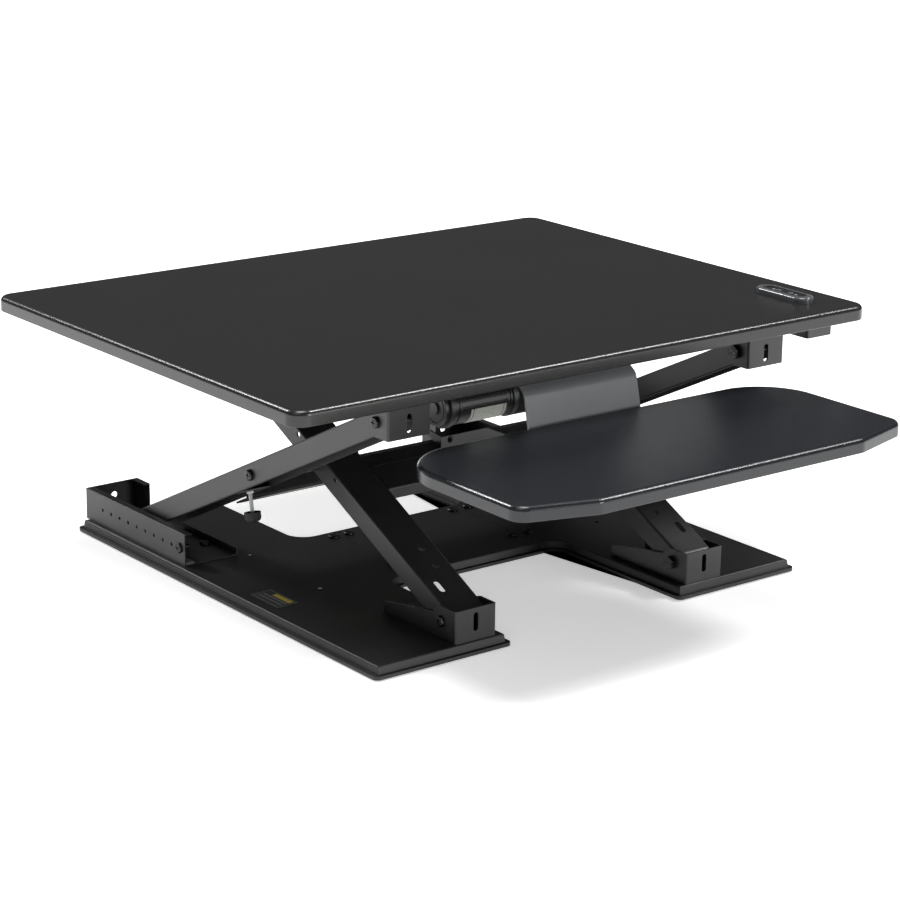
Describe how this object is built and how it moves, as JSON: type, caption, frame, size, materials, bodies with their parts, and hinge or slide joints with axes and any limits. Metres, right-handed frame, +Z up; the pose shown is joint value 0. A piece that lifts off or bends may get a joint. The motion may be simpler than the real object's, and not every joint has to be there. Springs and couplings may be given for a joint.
{
  "type": "standing desk converter",
  "caption": "Electric standing desk converter: wide black desktop with a lower keyboard tray on a scissor lift over an H-shaped steel base.",
  "frame": {"origin": "on the surface it stands on, under the middle of its whole outline", "axes": "+X to the user's right, +Y away from the user, +Z up"},
  "size_m": [0.92, 0.947, 0.3595],
  "materials": {
    "base_coat": "satin black powder coat",
    "frame_coat": "satin black powder coat",
    "zinc_steel": "dark zinc plated steel",
    "rubber": "black rubber",
    "label_print": "plain printed film",
    "label_paper": "blank pale film",
    "nylon": "black nylon",
    "desk_laminate": "black laminate on board",
    "tray_laminate": "black laminate on board",
    "motor_can": "dark painted can",
    "black_plastic": "black moulded plastic",
    "pad_gloss": "glossy moulded plastic",
    "gear_casting": "painted casting",
    "brass": "machined brass",
    "button_plastic": "moulded button"
  },
  "bodies": {
    "base": {"base_leg_left": "base_coat", "base_bridge": "base_coat", "base_leg_right": "base_coat", "base_join_plates": "zinc_steel", "base_join_screws": "zinc_steel", "rubber_feet": "rubber", "base_label": "label_print", "floor_screws": "zinc_steel", "lower_bracket_left": "frame_coat", "lower_bracket_right": "frame_coat", "lower_pivot_bolt_left": "zinc_steel", "lower_pivot_bolt_right": "zinc_steel", "rear_channel_left": "frame_coat", "rear_channel_right": "frame_coat", "channel_stop_screws": "zinc_steel", "channel_wear_strips": "nylon"},
    "inner_arms": {"inner_arm_left": "frame_coat", "inner_arm_right": "frame_coat", "inner_crossbeam": "frame_coat", "crossbeam_bracket": "frame_coat", "mid_spacers": "zinc_steel", "upper_axles": "zinc_steel"},
    "outer_arms": {"outer_arm_left": "frame_coat", "outer_arm_right": "frame_coat", "outer_crossbeam": "frame_coat", "mid_pivot_bolts": "zinc_steel", "lower_axles": "zinc_steel", "bumper_plates": "frame_coat", "bumper_studs": "zinc_steel", "bumper_cups": "rubber"},
    "platform": {"desktop_board": "desk_laminate", "desk_screws": "zinc_steel", "keyboard_tray": "tray_laminate", "tray_strap": "frame_coat", "tray_screws": "zinc_steel", "upper_bracket_left": "frame_coat", "upper_bracket_right": "frame_coat", "upper_pivot_bolts": "zinc_steel", "upper_rail_left": "frame_coat", "upper_rail_right": "frame_coat", "rail_wear_strips": "nylon", "motor_body": "motor_can", "motor_end_cap": "black_plastic", "motor_clamps": "frame_coat", "motor_label": "label_paper", "gearbox": "gear_casting", "gearbox_hangers": "frame_coat", "screw_bearing": "gear_casting", "control_box": "black_plastic", "control_pad": "pad_gloss", "control_panel": "black_plastic"},
    "lead_screw": {"lead_screw": "zinc_steel"},
    "drive_nut": {"drive_nut": "brass"},
    "lower_roller_left": {"lower_roller_left": "nylon"},
    "lower_roller_right": {"lower_roller_right": "nylon"},
    "upper_roller_left": {"upper_roller_left": "nylon"},
    "upper_roller_right": {"upper_roller_right": "nylon"},
    "button_down": {"button_down": "button_plastic"},
    "button_up": {"button_up": "button_plastic"}
  },
  "joints": [
    {"name": "lift", "type": "hinge", "parent": "base", "child": "inner_arms", "pos_m": [0, -0.1945, 0.0395], "axis": [1, 0, 0], "range_deg": [-17.9, 17.1]},
    {"name": "scissor_fold", "type": "hinge", "parent": "inner_arms", "child": "outer_arms", "pos_m": [0, 0.08037, 0.17398], "axis": [1, 0, 0], "range_deg": [-34.4, 36]},
    {"name": "platform_level", "type": "hinge", "parent": "outer_arms", "child": "platform", "pos_m": [0, -0.1945, 0.30845], "axis": [1, 0, 0], "range_deg": [-18, 17.2]},
    {"name": "nut_level", "type": "hinge", "parent": "inner_arms", "child": "drive_nut", "pos_m": [0.06, 0.35523, 0.30845], "axis": [1, 0, 0], "range_deg": [-17.2, 18]},
    {"name": "lower_roller_left_spin", "type": "hinge", "parent": "outer_arms", "child": "lower_roller_left", "pos_m": [-0.323, 0.35523, 0.0395], "axis": [1, 0, 0], "continuous": true},
    {"name": "upper_roller_left_spin", "type": "hinge", "parent": "inner_arms", "child": "upper_roller_left", "pos_m": [-0.2235, 0.35523, 0.30845], "axis": [1, 0, 0], "continuous": true},
    {"name": "lower_roller_right_spin", "type": "hinge", "parent": "outer_arms", "child": "lower_roller_right", "pos_m": [0.323, 0.35523, 0.0395], "axis": [1, 0, 0], "continuous": true},
    {"name": "upper_roller_right_spin", "type": "hinge", "parent": "inner_arms", "child": "upper_roller_right", "pos_m": [0.2235, 0.35523, 0.30845], "axis": [1, 0, 0], "continuous": true},
    {"name": "screw_spin", "type": "hinge", "parent": "platform", "child": "lead_screw", "pos_m": [0.06, 0.1, 0.30845], "axis": [0, 1, 0], "continuous": true},
    {"name": "press_down", "type": "slide", "parent": "platform", "child": "button_down", "axis": [0, 0, -1], "range_m": [0, 0.001], "stiffness_N_per_m": 400},
    {"name": "press_up", "type": "slide", "parent": "platform", "child": "button_up", "axis": [0, 0, -1], "range_m": [0, 0.001], "stiffness_N_per_m": 400}
  ],
  "couplings": [
    {"joint": "scissor_fold", "follows": "lift", "ratio": -2},
    {"joint": "platform_level", "follows": "lift", "ratio": 1},
    {"joint": "nut_level", "follows": "lift", "ratio": -1}
  ]
}
